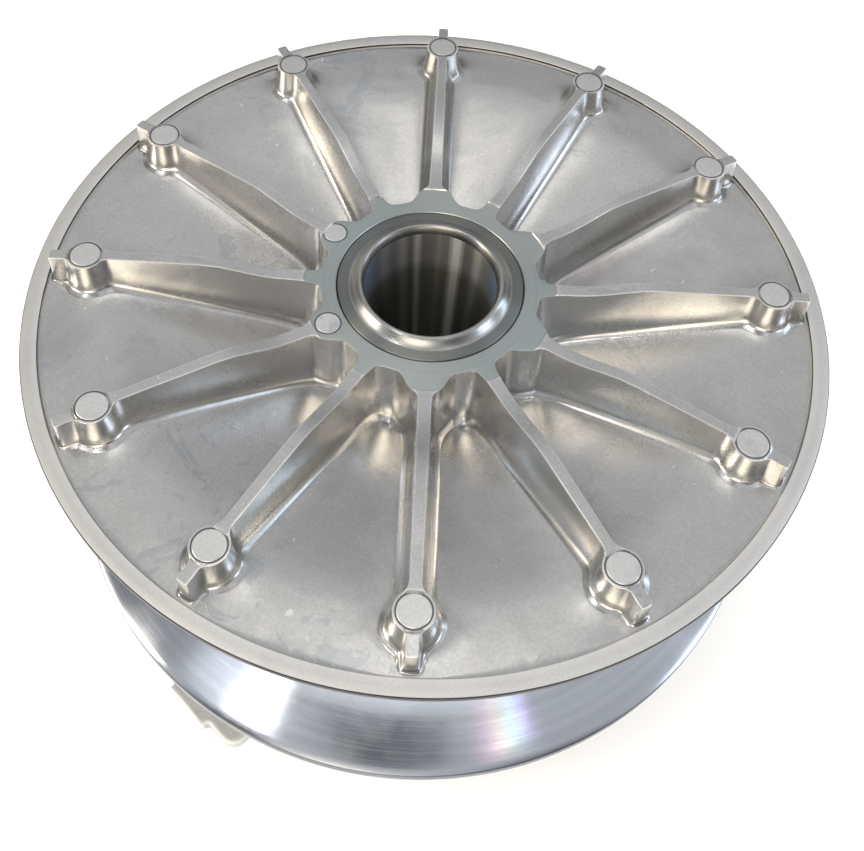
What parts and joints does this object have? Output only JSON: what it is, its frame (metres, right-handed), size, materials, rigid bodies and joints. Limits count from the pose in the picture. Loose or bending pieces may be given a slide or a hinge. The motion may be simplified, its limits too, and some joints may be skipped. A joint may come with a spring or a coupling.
{
  "type": "cvt drive clutch",
  "caption": "Variable-pitch drive pulley: ribbed fixed sheave and sliding sheave on one shaft, with flyweights, rollers, spider, return spring and cover.",
  "frame": {"origin": "on the clutch axis, at the foot of the cover nose that it stands on", "axes": "+Z along the clutch axis towards the engine side, where the ribbed fixed sheave and the crank bore are"},
  "size_m": [0.23, 0.23, 0.1893],
  "materials": {
    "cast_aluminium": "die-cast skin, mottled, with machined plate and rim",
    "turned_aluminium": "turned, fine concentric lines",
    "spider_casting": "die-cast, matt",
    "cover_casting": "die-cast, matt",
    "turned_steel": "turned steel, oiled",
    "ground_steel": "ground bright",
    "black_steel": "black oxide",
    "spring_steel": "blued spring wire",
    "zinc_steel": "zinc plated",
    "bronze": "sintered bronze",
    "liner": "filled nylon"
  },
  "bodies": {
    "fixed_assembly": {"fixed_sheave": "cast_aluminium", "clutch_shaft": "turned_steel", "upper_thrust_washer": "zinc_steel", "idler_needle_cage": "bronze", "lower_thrust_washer": "zinc_steel", "bearing_circlip": "black_steel", "spider": "spider_casting", "spider_shim": "zinc_steel", "spider_nut": "black_steel", "return_spring": "spring_steel", "roller_pin_1": "ground_steel", "slider_button_1a": "liner", "slider_button_1b": "liner", "roller_pin_2": "ground_steel", "slider_button_2a": "liner", "slider_button_2b": "liner", "roller_pin_3": "ground_steel", "slider_button_3a": "liner", "slider_button_3b": "liner"},
    "movable_assembly": {"movable_sheave": "turned_aluminium", "sheave_bushing": "bronze", "cover": "cover_casting", "cover_bushing": "bronze", "cover_screw_1a": "zinc_steel", "cover_screw_1b": "zinc_steel", "flyweight_pin_1": "zinc_steel", "flyweight_nut_1": "zinc_steel", "cover_screw_2a": "zinc_steel", "cover_screw_2b": "zinc_steel", "flyweight_pin_2": "zinc_steel", "flyweight_nut_2": "zinc_steel", "cover_screw_3a": "zinc_steel", "cover_screw_3b": "zinc_steel", "flyweight_pin_3": "zinc_steel", "flyweight_nut_3": "zinc_steel"},
    "idler": {"idler_sleeve": "ground_steel"},
    "roller_1": {"roller_1": "ground_steel"},
    "flyweight_1": {"flyweight_1": "black_steel"},
    "roller_2": {"roller_2": "ground_steel"},
    "flyweight_2": {"flyweight_2": "black_steel"},
    "roller_3": {"roller_3": "ground_steel"},
    "flyweight_3": {"flyweight_3": "black_steel"}
  },
  "joints": [
    {"name": "shift", "type": "slide", "parent": "fixed_assembly", "child": "movable_assembly", "axis": [0, 0, 1], "range_m": [0, 0.033], "stiffness_N_per_m": 27900, "springref_m": -0.01914, "deforming": ["return_spring"]},
    {"name": "idler_spin", "type": "hinge", "parent": "fixed_assembly", "child": "idler", "pos_m": [0, 0, 0.139], "axis": [0, 0, 1], "continuous": true},
    {"name": "roller_1_spin", "type": "hinge", "parent": "fixed_assembly", "child": "roller_1", "pos_m": [-0.05436, -0.0587, 0.0865], "axis": [0.7337, -0.6794, 0], "continuous": true},
    {"name": "flyweight_1_swing", "type": "hinge", "parent": "movable_assembly", "child": "flyweight_1", "pos_m": [-0.04484, -0.04843, 0.0985], "axis": [-0.7337, 0.6794, 0], "range_deg": [0, 24]},
    {"name": "roller_2_spin", "type": "hinge", "parent": "fixed_assembly", "child": "roller_2", "pos_m": [0.07801, -0.01772, 0.0865], "axis": [0.2215, 0.9751, 0], "continuous": true},
    {"name": "flyweight_2_swing", "type": "hinge", "parent": "movable_assembly", "child": "flyweight_2", "pos_m": [0.06436, -0.01462, 0.0985], "axis": [-0.2215, -0.9751, 0], "range_deg": [0, 24]},
    {"name": "roller_3_spin", "type": "hinge", "parent": "fixed_assembly", "child": "roller_3", "pos_m": [-0.02366, 0.07642, 0.0865], "axis": [-0.9553, -0.2957, 0], "continuous": true},
    {"name": "flyweight_3_swing", "type": "hinge", "parent": "movable_assembly", "child": "flyweight_3", "pos_m": [-0.01952, 0.06305, 0.0985], "axis": [0.9553, 0.2957, 0], "range_deg": [0, 24]}
  ],
  "couplings": [
    {"joint": "flyweight_1_swing", "follows": "shift", "rad_per_m": 12.69},
    {"joint": "flyweight_2_swing", "follows": "shift", "rad_per_m": 12.69},
    {"joint": "flyweight_3_swing", "follows": "shift", "rad_per_m": 12.69}
  ]
}
